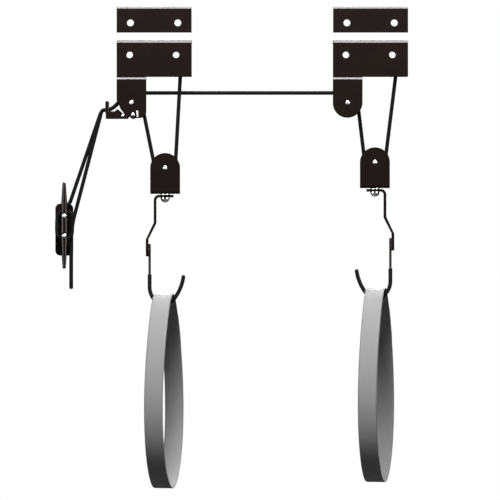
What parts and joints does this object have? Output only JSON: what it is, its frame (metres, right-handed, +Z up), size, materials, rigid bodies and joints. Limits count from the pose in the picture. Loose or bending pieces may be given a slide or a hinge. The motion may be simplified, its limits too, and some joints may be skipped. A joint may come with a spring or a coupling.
{
  "type": "kayak ceiling hoist",
  "caption": "Ceiling hoist for a kayak: two folded brackets with rope sheaves and a rope lock, two lower blocks with swivel hooks and webbing loops, and a wall cleat.",
  "frame": {"origin": "middle of the left bracket, on the top face of its ceiling flange, in the middle between its two plates", "axes": "+Z up to the ceiling, +X along the ceiling from the locking bracket to the plain one, front faces -Y"},
  "size_m": [0.5892, 0.1522, 0.8051],
  "materials": {
    "powder_black": "textured black powder coat",
    "zinc": "bright zinc plate",
    "nylon_black": "moulded nylon",
    "rubber_sleeve": "smooth black rubber",
    "webbing_grey": "woven webbing",
    "rope_black": "braided cover"
  },
  "bodies": {
    "root": {"ceiling_strip_left": "powder_black", "ceiling_strip_right": "powder_black", "bracket_front_left": "powder_black", "bracket_rear_left": "powder_black", "bracket_front_right": "powder_black", "bracket_rear_right": "powder_black", "anchor_post_left": "zinc", "anchor_post_right": "zinc", "spare_post_left": "zinc", "spare_post_right": "zinc", "axle_upper_left": "zinc", "axle_upper_right": "zinc", "axle_washers_left": "zinc", "axle_washer_right": "zinc", "axle_spacer_right": "zinc", "lock_pivots": "zinc", "stop_tabs": "zinc", "cleat": "powder_black", "cleat_screws": "zinc", "left_rope_knot": "rope_black", "left_rope_fall": "rope_black", "left_rope_rise": "rope_black", "left_rope_over": "rope_black", "left_rope_lead": "rope_black", "left_rope_tail": "rope_black", "right_rope_knot": "rope_black", "right_rope_fall": "rope_black", "right_rope_rise": "rope_black", "right_rope_cross": "rope_black", "right_rope_over": "rope_black", "right_rope_lead": "rope_black", "right_rope_tail": "rope_black"},
    "block_left": {"yoke_left": "powder_black", "axle_lower_left": "zinc", "left_rope_wrap": "rope_black"},
    "lower_sheave_left": {"sheave_lower_left": "nylon_black"},
    "hook_left": {"swivel_rivet_left": "zinc", "swivel_washer_left": "zinc", "hook_bar_left": "powder_black", "hook_rod_left": "powder_black", "hook_sleeve_left": "rubber_sleeve"},
    "loop_left": {"webbing_loop_left": "webbing_grey"},
    "block_right": {"yoke_right": "powder_black", "axle_lower_right": "zinc", "right_rope_wrap": "rope_black"},
    "lower_sheave_right": {"sheave_lower_right": "nylon_black"},
    "hook_right": {"swivel_rivet_right": "zinc", "swivel_washer_right": "zinc", "hook_bar_right": "powder_black", "hook_rod_right": "powder_black", "hook_sleeve_right": "rubber_sleeve"},
    "loop_right": {"webbing_loop_right": "webbing_grey"},
    "upper_sheave_front": {"sheave_upper_left_front": "nylon_black"},
    "upper_sheave_rear": {"sheave_upper_left_rear": "nylon_black"},
    "upper_sheave_right": {"sheave_upper_right": "nylon_black"},
    "lock": {"lock_arm": "powder_black", "guide_liner": "nylon_black", "jam_pin": "zinc"}
  },
  "joints": [
    {"name": "lift_left", "type": "slide", "parent": "root", "child": "block_left", "axis": [0, 0, 1], "range_m": [-0.12, 0.045], "deforming": ["left_rope_fall", "left_rope_rise"]},
    {"name": "lift_right", "type": "slide", "parent": "root", "child": "block_right", "axis": [0, 0, 1], "range_m": [-0.12, 0.045], "deforming": ["right_rope_fall", "right_rope_rise"]},
    {"name": "lower_spin_left", "type": "hinge", "parent": "block_left", "child": "lower_sheave_left", "pos_m": [0.0183, -0.006, -0.2138], "axis": [0, 1, 0], "continuous": true},
    {"name": "lower_spin_right", "type": "hinge", "parent": "block_right", "child": "lower_sheave_right", "pos_m": [0.3686, 0.006, -0.204], "axis": [0, 1, 0], "continuous": true},
    {"name": "upper_spin_front", "type": "hinge", "parent": "root", "child": "upper_sheave_front", "pos_m": [-0.038, -0.006, -0.105], "axis": [0, 1, 0], "continuous": true},
    {"name": "upper_spin_rear", "type": "hinge", "parent": "root", "child": "upper_sheave_rear", "pos_m": [-0.038, 0.006, -0.105], "axis": [0, 1, 0], "continuous": true},
    {"name": "upper_spin_right", "type": "hinge", "parent": "root", "child": "upper_sheave_right", "pos_m": [0.323, 0.006, -0.105], "axis": [0, 1, 0], "continuous": true},
    {"name": "swivel_left", "type": "hinge", "parent": "block_left", "child": "hook_left", "pos_m": [0.0183, -0.006, -0.2571], "axis": [0, 0, 1], "continuous": true},
    {"name": "swivel_right", "type": "hinge", "parent": "block_right", "child": "hook_right", "pos_m": [0.3686, 0.006, -0.2473], "axis": [0, 0, 1], "continuous": true},
    {"name": "swing_left", "type": "hinge", "parent": "hook_left", "child": "loop_left", "pos_m": [0.0163, -0.006, -0.4328], "axis": [0.9703, -0.2419, 0], "range_deg": [-15, 15]},
    {"name": "swing_right", "type": "hinge", "parent": "hook_right", "child": "loop_right", "pos_m": [0.3706, 0.006, -0.423], "axis": [0.9703, -0.2419, 0], "range_deg": [-15, 15]},
    {"name": "lock_pivot", "type": "hinge", "parent": "root", "child": "lock", "pos_m": [-0.0352, 0, -0.1251], "axis": [0, -1, 0], "range_deg": [0, 60]}
  ],
  "couplings": [
    {"joint": "lower_spin_left", "follows": "lift_left", "rad_per_m": 59.524},
    {"joint": "upper_spin_front", "follows": "lift_left", "rad_per_m": -119.05},
    {"joint": "lower_spin_right", "follows": "lift_right", "rad_per_m": 59.524},
    {"joint": "upper_spin_right", "follows": "lift_right", "rad_per_m": -119.05},
    {"joint": "upper_spin_rear", "follows": "lift_right", "rad_per_m": -119.05}
  ]
}
